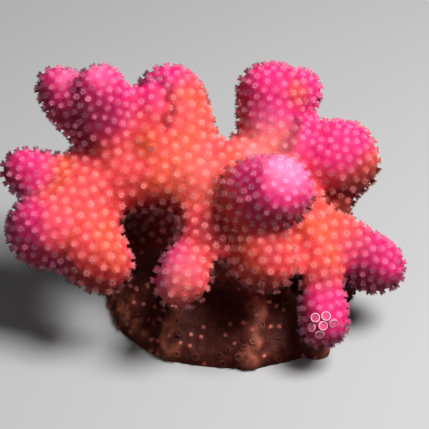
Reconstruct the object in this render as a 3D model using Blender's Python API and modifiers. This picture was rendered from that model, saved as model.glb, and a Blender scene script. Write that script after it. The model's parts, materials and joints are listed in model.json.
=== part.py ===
"""A small stylophora coral colony, cut off flat underneath.

The colony is a spreading foot, a short trunk and a crown of thick branches with
blunt, club-like ends. It grew as one piece and is split here at its main forks,
so that every branch is a solid of its own. Each solid stops a small gap short
of the branch that carries it.

The colony stands on z = 0 with its foot's middle at the origin. The side that
faces -Y is its front.
"""

import math

import bmesh
import bpy
from mathutils import Vector

MM = 0.001

# Driving dimensions, in millimetres.
FORK_GAP = 0.3  # space between two solids that meet at a fork
FOOT_RADIUS = 23.5
FOOT_RIM = 3.4  # thickness of the foot's edge
FOOT_TOP_RADIUS = 10.0
FOOT_HEIGHT = 13.0
FOOT_BELOW = 3.0  # how far the foot is made below z = 0 before it is cut flat
FOOT_TURNS = 24  # faces round the foot
RING_STEP = 3.4  # distance between the rings of a branch
TUBE_SIDES = 3  # Blender's bevel resolution, which gives 10 sides
LUMP_SIZE = 9.0
LUMP_HEIGHT = 1.8
FOOT_LUMP_HEIGHT = 3.0
WELD = 0.01
TIP_ANGLES = (24, 48, 68, 84)  # degrees round a blunt end, from its side to its top

# Each branch is a path through its middle, from root to tip: x, y, z and radius in
# millimetres. A root lies inside the branch that carries it. The order is the order of
# growth: a branch is cut back from every earlier one that it meets.
TRUNK = ("trunk", "stem", [(0, 0, 5, 12.5), (0, 0, 13, 10.5), (-0.5, 0, 20, 9.8), (0.3, 1, 25, 8.6)])
BRANCHES = [
    ("left_arm", "stem", [(-2, 0, 26, 6.8), (-14, 0, 28.3, 6.4), (-26, -1.5, 26.4, 5.8)]),
    ("left_lobe", "tip", [(-26, -2.5, 26, 6.4), (-31, -6.5, 24.6, 6.8), (-34.2, -10.4, 23.3, 7.0)]),
    ("left_tip", "tip", [(-26.5, -1.2, 26.6, 5.0), (-33, -0.5, 27.9, 4.5), (-38.3, 0, 29, 4.6)]),
    ("left_drop_lobe", "tip", [(-26.5, -6, 24.5, 5.6), (-27, -11, 20.9, 6.9), (-23.8, -16, 19.3, 5.6)]),
    ("upper_left_club", "tip", [(-20.5, 1, 29, 6.0), (-23.5, 3.2, 35.5, 5.3), (-24, 5.8, 42.5, 5.3)]),
    ("upper_left_side_knob", "tip", [(-23.8, 3.5, 34.9, 4.0), (-28.6, 6.4, 38.2, 4.5), (-31.5, 9.5, 41.5, 4.5)]),
    ("top_left_club", "tip", [(-8, 3, 28, 6.6), (-9.6, 7.5, 32.3, 7.2), (-11, 12, 37, 7.2)]),
    ("top_left_front_knob", "tip", [(-14, 1, 29.5, 5.6), (-14.8, 3.8, 35.6, 4.8), (-14.4, 7, 40.3, 4.0)]),
    ("top_right_club", "tip", [(2, 2, 24, 6.5), (7.6, 7, 28.8, 6.3), (8.5, 12.5, 37.4, 6.8)]),
    ("top_right_side_knob", "tip", [(9.6, 11, 33.2, 4.8), (13.4, 14.5, 37.7, 4.4)]),
    ("right_ball", "tip", [(4, 3, 21, 6.5), (13, 6.8, 25.4, 6.6), (20.5, 8.3, 26.2, 8.1)]),
    ("front_club", "tip", [(1.5, -2, 18, 8.0), (4.2, -7, 25.5, 7.6), (5.2, -9.8, 31, 7.2), (8.4, -12.8, 33.4, 6.8)]),
    ("front_under_knob", "tip", [(3, -8, 20, 6.0), (6.8, -18.5, 21.2, 5.4)]),
    ("centre_finger", "tip", [(-4, -5, 24, 5.2), (-5.6, -12, 22.3, 3.5), (-8.9, -20, 18.8, 5.0)]),
    ("right_finger", "tip", [(8, -2, 22, 6.0), (15.2, -6, 22, 5.0), (17.2, -14, 17.5, 3.5), (17.6, -21.5, 10.3, 4.5)]),
    ("right_club", "tip", [(17, -7, 20.5, 4.8), (22.8, -8, 17, 5.3), (28, -8.6, 13.7, 5.3)]),
    ("right_under_knob", "stem", [(10, 3, 17.5, 4.6), (19.6, 4, 17.8, 4.0)]),
    ("right_low_knob", "stem", [(8, 0, 12, 5.0), (16, -1.5, 8.5, 4.6), (21.9, -3, 5.9, 4.0)]),
    ("left_low_knob", "stem", [(-7, 2, 10.5, 5.0), (-14, 3.5, 9, 4.6), (-18.5, 4, 7.8, 4.2)]),
    ("back_left_club", "tip", [(-6, 5, 21, 6.0), (-14, 13, 21.5, 5.4), (-18.5, 19.5, 22.5, 6.0)]),
    ("back_right_club", "tip", [(3, 5, 19, 6.0), (6.5, 14, 20.5, 5.2), (9, 21.5, 22, 5.6)]),
    ("back_middle_club", "tip", [(-1, 5, 14, 5.4), (-2, 15, 13, 5.0), (-3, 21, 13.5, 5.5)]),
    ("back_low_left_club", "tip", [(-4, 6, 14, 4.6), (-12, 11, 11.2, 5.0), (-18.5, 16, 10.2, 5.4)]),
    ("back_low_right_club", "tip", [(5, 6, 15, 4.6), (12, 12, 13, 5.0), (17, 17, 13.5, 5.4)]),
    ("back_left_side_club", "tip", [(-6, 3, 19, 5.4), (-18, 8, 18, 5.2), (-27, 11.5, 16.5, 5.2)]),
]

# Ribs down the foot, each from its top inside the foot to its end at the rim.
RIBS = [
    [(6.0, -10, 9, 2.8), (5.0, -17, 5.5, 2.8), (4.0, -22, 2, 2.4)],
    [(-7.0, -9, 9, 2.6), (-9.5, -15, 5.5, 2.8), (-11, -19, 2, 2.4)],
    [(-10, 3, 9, 2.6), (-17, 4, 5.5, 2.8), (-21, 5, 2, 2.4)],
    [(4, 10, 9, 2.6), (5, 17, 5.5, 2.8), (6, 21, 2, 2.4)],
    [(10.5, -9, 7, 2.8), (14.5, -14.5, 4, 2.8), (16.8, -18.2, 1.6, 2.6)],
]

# What a branch must come near for the foot to cut it: balls up the middle of the foot.
FOOT_REACH = [(0, 0, 1, 14), (0, 0, 6, 10)]

# Colours are linear red, green and blue.
FINISHES = {
    "foot": {"colour": (0.26, 0.085, 0.045), "roughness": 0.75},
    "stem": {"colour": (0.86, 0.14, 0.09), "roughness": 0.6},
    "tip": {"colour": (0.82, 0.035, 0.19), "roughness": 0.55},
}


def clear_scene():
    for obj in list(bpy.data.objects):
        bpy.data.objects.remove(obj, do_unlink=True)


def new_collection(name):
    collection = bpy.data.collections.new(name)
    bpy.context.scene.collection.children.link(collection)
    return collection


def make_material(name, finish):
    """A plain material with the finish's colour and roughness."""
    material = bpy.data.materials.new(name)
    material.use_nodes = True
    shader = material.node_tree.nodes["Principled BSDF"]
    shader.inputs["Base Color"].default_value = (*finish["colour"], 1.0)
    shader.inputs["Roughness"].default_value = finish["roughness"]
    shader.inputs["Metallic"].default_value = 0.0
    material.diffuse_color = (*finish["colour"], 1.0)
    return material


def lump_texture():
    """Soft noise that keeps the branches from being plain tubes."""
    texture = bpy.data.textures.new("lumps", "CLOUDS")
    texture.noise_scale = LUMP_SIZE * MM
    texture.noise_depth = 1
    return texture


def smooth_path(points):
    """Points every RING_STEP along a smooth curve through the given ones, radius included."""
    knots = [Vector(point) for point in points]
    first, last = 2 * knots[0] - knots[1], 2 * knots[-1] - knots[-2]
    padded = [first, *knots, last]
    path = [knots[0]]
    for before, start, end, after in zip(padded, padded[1:], padded[2:], padded[3:]):
        count = max(1, round((end - start).to_3d().length / RING_STEP))
        for i in range(1, count + 1):
            t = i / count
            bend = (end - before) * t + (2 * before - 5 * start + 4 * end - after) * t**2
            curl = (3 * start - before - 3 * end + after) * t**3
            path.append(start + (bend + curl) / 2)
    return path


def add_blunt_tip(path):
    """The path with rings added beyond its last point that close in a half ball."""
    middle, radius = path[-1].to_3d(), path[-1].w
    along = (middle - path[-2].to_3d()).normalized()
    rings = []
    for angle in map(math.radians, TIP_ANGLES):
        centre = middle + along * radius * math.sin(angle)
        rings.append(Vector((*centre, radius * math.cos(angle))))
    return path + rings


def branch_mesh(name, points):
    """One branch as a closed mesh, with its origin at the root of the branch."""
    path = add_blunt_tip(smooth_path(points))
    root = path[0].to_3d()
    curve = bpy.data.curves.new(name, "CURVE")
    curve.dimensions = "3D"
    curve.bevel_depth = MM
    curve.bevel_resolution = TUBE_SIDES
    curve.use_fill_caps = True
    spline = curve.splines.new("POLY")
    spline.points.add(len(path) - 1)
    for point, ring in zip(spline.points, path):
        point.co = (*(ring.to_3d() - root) * MM, 1.0)
        point.radius = ring.w
    guide = bpy.data.objects.new(name + "_curve", curve)
    bpy.context.scene.collection.objects.link(guide)
    graph = bpy.context.evaluated_depsgraph_get()
    mesh = bpy.data.meshes.new_from_object(guide.evaluated_get(graph))
    bpy.data.objects.remove(guide, do_unlink=True)
    bpy.data.curves.remove(curve)
    weld_caps(mesh)
    mesh.name = name
    return mesh, root * MM


def weld_caps(mesh):
    """Joins the curve's end caps to its side and points every face outwards."""
    bm = bmesh.new()
    bm.from_mesh(mesh)
    bmesh.ops.remove_doubles(bm, verts=bm.verts, dist=WELD * MM)
    bmesh.ops.recalc_face_normals(bm, faces=bm.faces)
    bm.to_mesh(mesh)
    bm.free()


def foot_profile_mesh():
    """Half of the foot's section at +X, from its top down its outer side to its underside."""
    slope_radius = (FOOT_RADIUS + FOOT_TOP_RADIUS) / 2
    profile = [
        (0, FOOT_HEIGHT),
        (FOOT_TOP_RADIUS * 0.6, FOOT_HEIGHT),
        (FOOT_TOP_RADIUS, FOOT_HEIGHT - 2.5),
        (slope_radius - 3.5, FOOT_HEIGHT - 5.5),
        (slope_radius, FOOT_RIM + 2.6),
        (FOOT_RADIUS - 3.2, FOOT_RIM + 0.9),
        (FOOT_RADIUS - 0.8, FOOT_RIM - 0.6),
        (FOOT_RADIUS, FOOT_RIM * 0.35),
        (FOOT_RADIUS - 0.6, -FOOT_BELOW),
        (0, -FOOT_BELOW),
    ]
    mesh = bpy.data.meshes.new("foot")
    bm = bmesh.new()
    verts = [bm.verts.new((x * MM, 0, z * MM)) for x, z in profile]
    for upper, lower in zip(verts, verts[1:]):
        bm.edges.new((upper, lower))
    bm.to_mesh(mesh)
    bm.free()
    return mesh


def add_turn(obj):
    turn = obj.modifiers.new("turn", "SCREW")
    turn.steps = turn.render_steps = FOOT_TURNS
    turn.use_merge_vertices = True
    turn.merge_threshold = WELD * MM
    turn.use_smooth_shade = True


def add_lumps(obj, texture, height):
    lumps = obj.modifiers.new("lumps", "DISPLACE")
    lumps.texture = texture
    lumps.texture_coords = "GLOBAL"
    lumps.strength = height * MM
    lumps.mid_level = 0.5


def add_growth(obj):
    """Grows a copy by the fork gap, so that it clears that much space when it cuts."""
    growth = obj.modifiers.new("growth", "DISPLACE")
    growth.strength = FORK_GAP * MM
    growth.mid_level = 0.0


def add_boolean(obj, other, operation, solver="EXACT"):
    boolean = obj.modifiers.new(operation.lower() + " " + other.name, "BOOLEAN")
    boolean.operation = operation
    boolean.solver = solver
    boolean.object = other


def mark_as_helper(obj):
    obj.hide_render = True
    obj.display_type = "WIRE"


def new_object(name, mesh, place, collection, parent):
    obj = bpy.data.objects.new(name, mesh)
    obj.location = place
    obj.parent = parent
    collection.objects.link(obj)
    return obj


def ground_block(collection, parent):
    """The block below z = 0 that cuts the foot flat."""
    bpy.ops.mesh.primitive_cube_add(size=1)
    block = bpy.context.object
    for owner in list(block.users_collection):
        owner.objects.unlink(block)
    collection.objects.link(block)
    block.name = "ground_cut"
    side, depth = 4 * FOOT_RADIUS * MM, 4 * FOOT_BELOW * MM
    for vert in block.data.vertices:
        vert.co = (vert.co.x * side, vert.co.y * side, vert.co.z * depth - depth / 2)
    block.parent = parent
    mark_as_helper(block)
    return block


def touches(points, others):
    """Whether two branches come close enough for one to be cut back from the other."""
    reach = FORK_GAP + LUMP_HEIGHT
    for ring in add_blunt_tip(smooth_path(points)):
        for other in add_blunt_tip(smooth_path(others)):
            if (ring.to_3d() - other.to_3d()).length < ring.w + other.w + reach:
                return True
    return False


class Colony:
    """The collections, the materials and the pieces grown so far."""

    def __init__(self):
        self.pieces = new_collection("stylophora_coral")
        self.helpers = new_collection("helpers")
        self.texture = lump_texture()
        self.materials = {name: make_material(name, finish) for name, finish in FINISHES.items()}
        self.base = bpy.data.objects.new("coral", None)
        self.pieces.objects.link(self.base)
        self.grown = []

    def add_clearance(self, name, mesh, place, points, shape):
        """A helper that is the piece grown by the fork gap, for cutting later pieces."""
        clearance = new_object(name + "_clearance", mesh, place, self.helpers, self.base)
        shape(clearance)
        add_growth(clearance)
        mark_as_helper(clearance)
        self.grown.append((points, clearance))

    def grow_foot(self):
        """The turned and lumpy foot with its ribs, cut flat underneath."""

        def shape(obj):
            add_turn(obj)
            add_lumps(obj, self.texture, FOOT_LUMP_HEIGHT)

        mesh = foot_profile_mesh()
        foot = new_object("foot", mesh, (0, 0, 0), self.pieces, self.base)
        mesh.materials.append(self.materials["foot"])
        shape(foot)
        for number, points in enumerate(RIBS, start=1):
            add_boolean(foot, self.grow_rib(f"rib_{number}", points), "UNION")
        add_boolean(foot, ground_block(self.helpers, self.base), "DIFFERENCE")
        self.add_clearance("foot", mesh, (0, 0, 0), FOOT_REACH, shape)

    def grow_rib(self, name, points):
        """A helper that joins the foot, with a clearance of its own."""
        mesh, place = branch_mesh(name, points)
        rib = new_object(name, mesh, place, self.helpers, self.base)
        mark_as_helper(rib)
        self.add_clearance(name, mesh, place, points, lambda obj: None)
        return rib

    def grow_branch(self, name, finish, points):
        """A lumpy tube with a blunt end, cut back from the earlier pieces that it meets."""

        def shape(obj):
            add_lumps(obj, self.texture, LUMP_HEIGHT)

        mesh, place = branch_mesh(name, points)
        mesh.materials.append(self.materials[finish])
        branch = new_object(name, mesh, place, self.pieces, self.base)
        shape(branch)
        for others, clearance in self.grown:
            if touches(points, others):
                # EXACT loses the whole branch where several lumpy cuts cross.
                add_boolean(branch, clearance, "DIFFERENCE", solver="MANIFOLD")
        mesh.shade_smooth()
        self.add_clearance(name, mesh, place, points, shape)


def main():
    clear_scene()
    colony = Colony()
    colony.grow_foot()
    for name, finish, points in [TRUNK, *BRANCHES]:
        colony.grow_branch(name, finish, points)


main()
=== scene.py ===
# %% [markdown]
# # A small colony of stylophora coral
# This lesson dresses a finished set of solids as a living coral. The solids, called the
# frame, hold the real places and sizes of a foot, a trunk and the branches that fork off it.
# They are plain and faceted. The lesson grows one seamless skin over them, works out where
# that skin is pink, orange or brown, sets out the polyps on it, cuts the skin back into one
# piece for each branch, and gives everything its finish.

import json
import math
import random

import bmesh
import bpy
import numpy as np
from mathutils import Matrix, Vector, noise
from mathutils.bvhtree import BVHTree
from mathutils.kdtree import KDTree


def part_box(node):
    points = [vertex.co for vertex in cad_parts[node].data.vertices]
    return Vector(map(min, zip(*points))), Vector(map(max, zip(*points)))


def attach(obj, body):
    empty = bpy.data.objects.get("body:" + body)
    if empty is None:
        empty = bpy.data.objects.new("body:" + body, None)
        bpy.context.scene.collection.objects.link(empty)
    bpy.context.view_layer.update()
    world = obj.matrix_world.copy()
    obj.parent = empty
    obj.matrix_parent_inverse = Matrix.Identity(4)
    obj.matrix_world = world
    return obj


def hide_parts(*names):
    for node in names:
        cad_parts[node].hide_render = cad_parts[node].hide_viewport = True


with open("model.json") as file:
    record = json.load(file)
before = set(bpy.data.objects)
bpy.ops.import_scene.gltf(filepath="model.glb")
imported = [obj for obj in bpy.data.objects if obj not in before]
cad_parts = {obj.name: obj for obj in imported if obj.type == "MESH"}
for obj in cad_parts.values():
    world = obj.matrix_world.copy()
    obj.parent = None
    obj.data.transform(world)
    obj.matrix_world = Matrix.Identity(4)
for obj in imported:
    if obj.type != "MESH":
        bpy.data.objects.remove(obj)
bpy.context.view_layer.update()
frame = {"nodes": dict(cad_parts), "record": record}

MM = 0.001
nodes = frame["nodes"]
slot_of = {part["node"]: part["material_slot"] for part in frame["record"]["subparts"]}
print(len(nodes), "branches in the frame")

# %% [markdown]
# ## The camera
# The colony was seen from its front and from 35 degrees above, from about 0.4 m away with a
# long lens, so that near and far branches keep nearly the same scale.

# %% Set up the camera
LOOK_DOWN = math.radians(35)
CAMERA_DISTANCE = 0.42
LOOK_AT = Vector((-2.6, -3.3, 21.5)) * MM
VIEW_WIDTH = 81.5 * MM
SENSOR = 36

camera_data = bpy.data.cameras.new("camera")
camera_data.sensor_width = SENSOR
camera_data.lens = SENSOR * CAMERA_DISTANCE / VIEW_WIDTH
camera_data.clip_start = 0.02
camera = bpy.data.objects.new("camera", camera_data)
camera.location = LOOK_AT + CAMERA_DISTANCE * Vector((0, -math.cos(LOOK_DOWN), math.sin(LOOK_DOWN)))
camera.rotation_euler = (math.pi / 2 - LOOK_DOWN, 0, 0)
bpy.context.scene.collection.objects.link(camera)
bpy.context.scene.camera = camera
print("lens", round(camera_data.lens), "mm")

# %% [markdown]
# ## One skin over all the branches
# A real colony has no joints between its branches: the skin runs over each fork in a soft
# web. The solids of the frame stop a hair short of each other, so a copy of each is merged,
# rounded and grown outwards until all of them overlap. A voxel remesh then melts them into
# one surface. Shrinking that surface by nearly the same amount brings the branches back to
# their own thickness, but leaves the crotches between them filled with a soft web, which is
# what the real thing has.

# %% Copy the branches into one mesh
FOOT_DEPTH = 2.5 * MM  # how far the foot's copy reaches below the ground before it is cut flat
MERGE = 0.001 * MM


def merged_copy(node):
    """A bmesh of the node with its doubles merged, and its flat underside moved down."""
    bm = bmesh.new()
    bm.from_mesh(node.data)
    bmesh.ops.remove_doubles(bm, verts=bm.verts, dist=MERGE)
    sole = [vert for vert in bm.verts if vert.co.z < MERGE]
    bmesh.ops.translate(bm, verts=sole, vec=(0, 0, -FOOT_DEPTH))
    return bm


def mesh_from(bm, name):
    """A mesh made from the bmesh, which is freed."""
    mesh = bpy.data.meshes.new(name)
    bm.to_mesh(mesh)
    bm.free()
    return mesh


def joined_copies():
    joined = bmesh.new()
    for node in nodes.values():
        mesh = mesh_from(merged_copy(node), "copy")
        joined.from_mesh(mesh)
        bpy.data.meshes.remove(mesh)
    return mesh_from(joined, "rough_skin")


rough = bpy.data.objects.new("rough_skin", joined_copies())
bpy.context.scene.collection.objects.link(rough)
print(len(rough.data.polygons), "faces before rounding")

# %% [markdown]
# Two stacks of modifiers do the melting, and each is read once and then thrown away. The
# first one rounds and grows the branches. Displace without a texture moves each point along
# its normal, so a positive strength grows and a negative one shrinks.

# %% Grow the branches until they melt together
ROUNDING = 2  # levels of subdivision
GROWTH = 1.5 * MM
FIRST_VOXEL = 0.6 * MM


def add_displace(obj, strength):
    move = obj.modifiers.new("move", "DISPLACE")
    move.strength = strength
    move.mid_level = 0.0


def add_remesh(obj, voxel):
    remesh = obj.modifiers.new("melt", "REMESH")
    remesh.mode = "VOXEL"
    remesh.voxel_size = voxel
    remesh.use_smooth_shade = True


def applied_mesh(obj):
    """The object's mesh as its modifiers leave it. The object itself is removed."""
    graph = bpy.context.evaluated_depsgraph_get()
    mesh = bpy.data.meshes.new_from_object(obj.evaluated_get(graph))
    old = obj.data
    bpy.data.objects.remove(obj, do_unlink=True)
    bpy.data.meshes.remove(old)
    return mesh


rounding = rough.modifiers.new("round", "SUBSURF")
rounding.levels = rounding.render_levels = ROUNDING
add_displace(rough, GROWTH)
add_remesh(rough, FIRST_VOXEL)
grown_mesh = applied_mesh(rough)
print(len(grown_mesh.polygons), "faces in the grown skin")

# %% [markdown]
# Branches that grow into each other can enclose a pocket between them. Shrinking the skin
# would make that larger, until it broke through the skin, so only the surface that holds the
# highest point is kept.

# %% Take out the closed pockets
def connected_faces(start):
    """All faces that can be reached from the given one over shared edges."""
    found = {start}
    fresh = [start]
    while fresh:
        for edge in fresh.pop().edges:
            for face in edge.link_faces:
                if face not in found:
                    found.add(face)
                    fresh.append(face)
    return found


def outer_skin(mesh):
    """The mesh without the closed pockets inside it."""
    bm = bmesh.new()
    bm.from_mesh(mesh)
    highest = max(bm.verts, key=lambda vert: vert.co.z)
    kept = connected_faces(highest.link_faces[0])
    pockets = [face for face in bm.faces if face not in kept]
    print(len(pockets), "faces in pockets, taken out")
    bmesh.ops.delete(bm, geom=pockets, context="FACES")
    return mesh_from(bm, "outer_skin")


grown = bpy.data.objects.new("grown_skin", outer_skin(grown_mesh))
bpy.context.scene.collection.objects.link(grown)

# %% [markdown]
# The second stack smooths the skin, shrinks it and melts it once more with finer voxels. Its
# points then stand about half a millimetre apart, close enough to follow the polyps' mounds.

# %% Shrink the skin back
SHRINK = 1.35 * MM
FINE_VOXEL = 0.5 * MM
FIRST_SMOOTHING = 8   # rounds
LAST_SMOOTHING = 12
SMOOTHING = 0.5       # the share of the way to its neighbours' middle that a point moves


def add_smooth(obj, rounds):
    smooth = obj.modifiers.new("smooth", "SMOOTH")
    smooth.factor = SMOOTHING
    smooth.iterations = rounds


add_smooth(grown, FIRST_SMOOTHING)
add_displace(grown, -SHRINK)
add_remesh(grown, FINE_VOXEL)
add_smooth(grown, LAST_SMOOTHING)
melted = outer_skin(applied_mesh(grown))
print(len(melted.polygons), "faces in the skin")

# %% [markdown]
# ## The cut under the foot
# The colony was cut off its rock with a saw, so it stands on a flat face. The melt has
# rounded that edge, which is why the foot's copy was made too deep: now a bisect takes the
# surplus away exactly at the ground. The edge stays open until the foot has a piece of its
# own, because a flat face there would bend the shading of the skin above it.

# %% Cut the skin flat at the ground
skin = bmesh.new()
skin.from_mesh(melted)
cut = bmesh.ops.bisect_plane(
    skin,
    geom=skin.verts[:] + skin.edges[:] + skin.faces[:],
    dist=MERGE,
    plane_co=(0, 0, 0),
    plane_no=(0, 0, -1),
    clear_outer=True,
)
rim_points = [item for item in cut["geom_cut"] if isinstance(item, bmesh.types.BMVert)]
print(round(sum(face.calc_area() for face in skin.faces) / MM ** 2), "mm2 of skin")
print(len(rim_points), "points round the cut")

# %% [markdown]
# ## Small swellings
# No branch is a perfect club. Slow noise moves each point of the skin along its normal by up
# to a third of a millimetre, and the foot is knobbly as well, which faster noise gives. Both
# fade out close to the ground, so that the cut stays flat.

# %% Let the surface swell and sink
SWELL = 0.35 * MM
SWELL_SIZE = 4.5 * MM
CALM_HEIGHT = 3 * MM
GRAIN = 0.6 * MM
GRAIN_SIZE = 1.7 * MM
GRAIN_HEIGHT = 12 * MM  # the foot's grain fades out up to here


def calm(height):
    """0 at the ground, 1 from CALM_HEIGHT upwards."""
    return min(1.0, max(0.0, height / CALM_HEIGHT))


def swelling(place):
    """How far the skin stands out or in at a place."""
    grain = max(0.0, 1 - place.z / GRAIN_HEIGHT) * GRAIN * noise.noise(place / GRAIN_SIZE)
    return (SWELL * noise.noise(place / SWELL_SIZE) + grain) * calm(place.z)


skin.normal_update()
for vert in skin.verts:
    vert.co += vert.normal * swelling(vert.co)
skin.normal_update()
skin.verts.ensure_lookup_table()
skin.faces.ensure_lookup_table()
skin.verts.index_update()
skin.faces.index_update()
skin_tree = BVHTree.FromBMesh(skin)
print("the skin swells by up to", SWELL / MM, "mm, and the foot's grain by", GRAIN / MM, "mm")

# %% [markdown]
# ## What each point of the skin knows
# Colour and polyps both follow the same few facts: which branch a point belongs to, how far
# it is from a tip, how much light reaches it and how far it stands out. They are kept as
# plain arrays with one number for each point. A value is softened by averaging it with its
# neighbours along the edges a few times.

# %% Read the skin into arrays
NOISE_STEP = Vector((7.3, 3.1, 5.7))  # how far apart two seeds read the same noise

points = np.array([vert.co for vert in skin.verts])
normals = np.array([vert.normal for vert in skin.verts])
edges = np.array([[vert.index for vert in edge.verts] for edge in skin.edges])
neighbours = np.bincount(edges.ravel(), minlength=len(points)) + 1


def spread(values, rounds):
    """The values after each has been averaged with its neighbours' a few times."""
    for _ in range(rounds):
        total = values.copy()
        total += np.bincount(edges[:, 0], values[edges[:, 1]], len(points))
        total += np.bincount(edges[:, 1], values[edges[:, 0]], len(points))
        values = total / neighbours
    return values


def soft_step(value):
    """A smooth ramp from 0 at -0.5 to 1 at 0.5."""
    value = np.clip(value + 0.5, 0.0, 1.0)
    return value * value * (3.0 - 2.0 * value)


def noise_at(places, size, seed):
    """Slow noise from -1 to 1 at each place."""
    return np.array([noise.noise(Vector(place) / size + seed * NOISE_STEP) for place in places])


print(len(points), "points,", len(edges), "edges")

# %% [markdown]
# The nearest triangle of the frame says which branch a point belongs to, and a BVH tree, which
# sorts the triangles by where they are, finds it fast. The answers are softened like any other
# value, one branch at a time, and the strongest one wins. That turns the ragged line between
# two branches into a neat one.

# %% Find the branch of each point
BRANCH_SOFTENING = 8


def frame_triangles():
    """All the frame's triangles, and the branch that each belongs to."""
    corners = []
    faces = []
    owners = []
    for number, node in enumerate(nodes.values()):
        start = len(corners)
        corners += [vert.co for vert in node.data.vertices]
        faces += [[start + corner for corner in face.vertices] for face in node.data.polygons]
        owners += [number] * len(node.data.polygons)
    return BVHTree.FromPolygons(corners, faces), np.array(owners)


frame_tree, owners = frame_triangles()
nearest = owners[[frame_tree.find_nearest(vert.co)[2] for vert in skin.verts]]
claims = np.array([
    spread((nearest == number) * 1.0, BRANCH_SOFTENING) for number in range(len(nodes))
])
branch_names = list(nodes)
print("points on the foot:", int((claims[branch_names.index("foot")] > 0.5).sum()))

# %% [markdown]
# ## Pink tips
# The youngest tissue, at the tip of each branch, is magenta, and it turns orange a centimetre
# or so behind the tip. How far the magenta reaches differs from branch to branch, so that is
# a small table in millimetres. The tip itself needs no table: it is the point of the branch
# that lies farthest from the heart of the colony. Three branches are pinkest beside their
# tips, and one pink club has an old orange spot on its side.

# %% Measure how pink each point is
PINK_REACH = {
    "left_lobe": 9.5, "left_tip": 10, "left_drop_lobe": 4,
    "upper_left_club": 13, "upper_left_side_knob": 12,
    "top_left_club": 8, "top_left_front_knob": 5,
    "top_right_club": 13, "top_right_side_knob": 3,
    "right_ball": 9, "front_club": 9.5, "front_under_knob": -5,
    "centre_finger": 5, "right_finger": 11, "right_club": 12.5,
}
PINK_PLACES = {
    "centre_finger": (-12, -18, 20.5), "front_club": (8.6, -13, 38), "right_ball": (20, 7, 34),
}
OLD_SPOT = ((13.3, 9.6, 40.7), 4.5)  # its middle and reach
USUAL_REACH = 10
PINK_FADE = 7 * MM
PINK_WANDER = 2 * MM  # noise moves the border by up to this
PINK_WANDER_SIZE = 5 * MM

low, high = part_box("trunk")
heart = (Vector(low) + Vector(high)) / 2


def tip_of(name):
    if name in PINK_PLACES:
        return Vector(PINK_PLACES[name]) * MM
    corners = [vert.co for vert in nodes[name].data.vertices]
    return max(corners, key=lambda corner: (corner - heart).length)


def spot(place, reach):
    """For each point, 1 in the middle of a round spot and 0 from its reach on, both in mm."""
    away = np.linalg.norm(points - np.array(place) * MM, axis=1)
    return soft_step(0.5 - away / (reach * MM))


def pinkness():
    """For each point, how magenta it is, from 0 to 1."""
    wander = PINK_WANDER * noise_at(points, PINK_WANDER_SIZE, 1)
    pink = np.zeros(len(points))
    for name in nodes:
        if slot_of[name] != "tip":
            continue
        reach = PINK_REACH.get(name, USUAL_REACH) * MM
        away = np.linalg.norm(points - np.array(tip_of(name)), axis=1)
        pink = np.maximum(pink, soft_step((reach + wander - away) / PINK_FADE))
    return pink * (1 - spot(*OLD_SPOT))


pink = pinkness()
print("pink share:", round(float(pink.mean()), 2))

# %% [markdown]
# On two clubs that reach far into the light the tips are paler, and that paleness is kept to
# the side that faces the lamp, so it is partly a painted highlight. A few spots on the upper
# stems and one on the centre finger are made paler as well, which is painted light.

# %% Measure how bleached each point is
LIGHT_FROM = Vector((0.45, -0.15, 0.88)).normalized()
PAINTED_HIGHLIGHT_REACH = {"front_club": 5.5, "upper_left_club": 3.5}
PAINTED_HIGHLIGHT_FADE = 8 * MM
HIGHLIGHT_FACING = 0.70   # a side that faces the lamp by this much gets half the painted highlight
FACING_FADE = 0.55
PAINTED_HIGHLIGHT = 0.6
PAINTED_LIGHT_SPOTS = [
    ((7.1, 3.4, 33.9), 9, 0.4), ((-5.2, -5, 31.6), 9, 0.12), ((-5.6, 4.6, 37.6), 9, 0.06),
    ((-10.6, -23.8, 21.2), 9, 0.2),
]


def paleness_and_painted_light():
    pale_with_painted_light = np.zeros(len(points))
    for name, reach in PAINTED_HIGHLIGHT_REACH.items():
        away = np.linalg.norm(points - np.array(tip_of(name)), axis=1)
        pale_with_painted_light = np.maximum(pale_with_painted_light, PAINTED_HIGHLIGHT * soft_step((reach * MM - away) / PAINTED_HIGHLIGHT_FADE))
    # kept to the side that faces the lamp: painted highlight
    pale_with_painted_light *= soft_step((normals @ np.array(LIGHT_FROM) - HIGHLIGHT_FACING) / FACING_FADE)
    # paler spots where the lamp leaves the tissue too dark: painted light
    for place, reach, strength in PAINTED_LIGHT_SPOTS:
        pale_with_painted_light += strength * spot(place, reach)
    return pale_with_painted_light


pale_with_painted_light = paleness_and_painted_light()
print("palest point:", round(float(pale_with_painted_light.max()), 2))

# %% [markdown]
# ## Shade
# Where little of the lamp's light reaches a point, its colour is later made a deeper crimson
# and a little brown, which is painted shade. Low on the foot it is brown. A few rays sent from
# each point towards the lamp and round it tell how much light it gets. The three knobs low on
# the trunk are more or less brown all over, and the ball on the right is brownish underneath.

# %% Measure how much light each point gets
RAY_TILTS = (20, 50)
RAY_TURNS = 5
RAY_START = 0.3 * MM
LIGHT_SOFTENING = 6    # rounds
SHADE_LIGHT = 0.35     # where this share of the full light arrives, it is half shaded
SHADE_FADE = 0.6


def ray_directions():
    directions = [LIGHT_FROM]
    to_lamp = LIGHT_FROM.to_track_quat("Z", "Y")
    for ring, tilt in enumerate(RAY_TILTS):
        for step in range(RAY_TURNS):
            turn = 2 * math.pi * (step + ring / 2) / RAY_TURNS
            lean = math.radians(tilt)
            flat = math.sin(lean)
            tilted = Vector((flat * math.cos(turn), flat * math.sin(turn), math.cos(lean)))
            directions.append(to_lamp @ tilted)
    return directions


def light_seen(place, normal, directions):
    seen = 0.0
    start = place + normal * RAY_START
    for direction in directions:
        facing = normal.dot(direction)
        if facing > 0 and skin_tree.ray_cast(start, direction)[0] is None:
            seen += facing
    return seen


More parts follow.
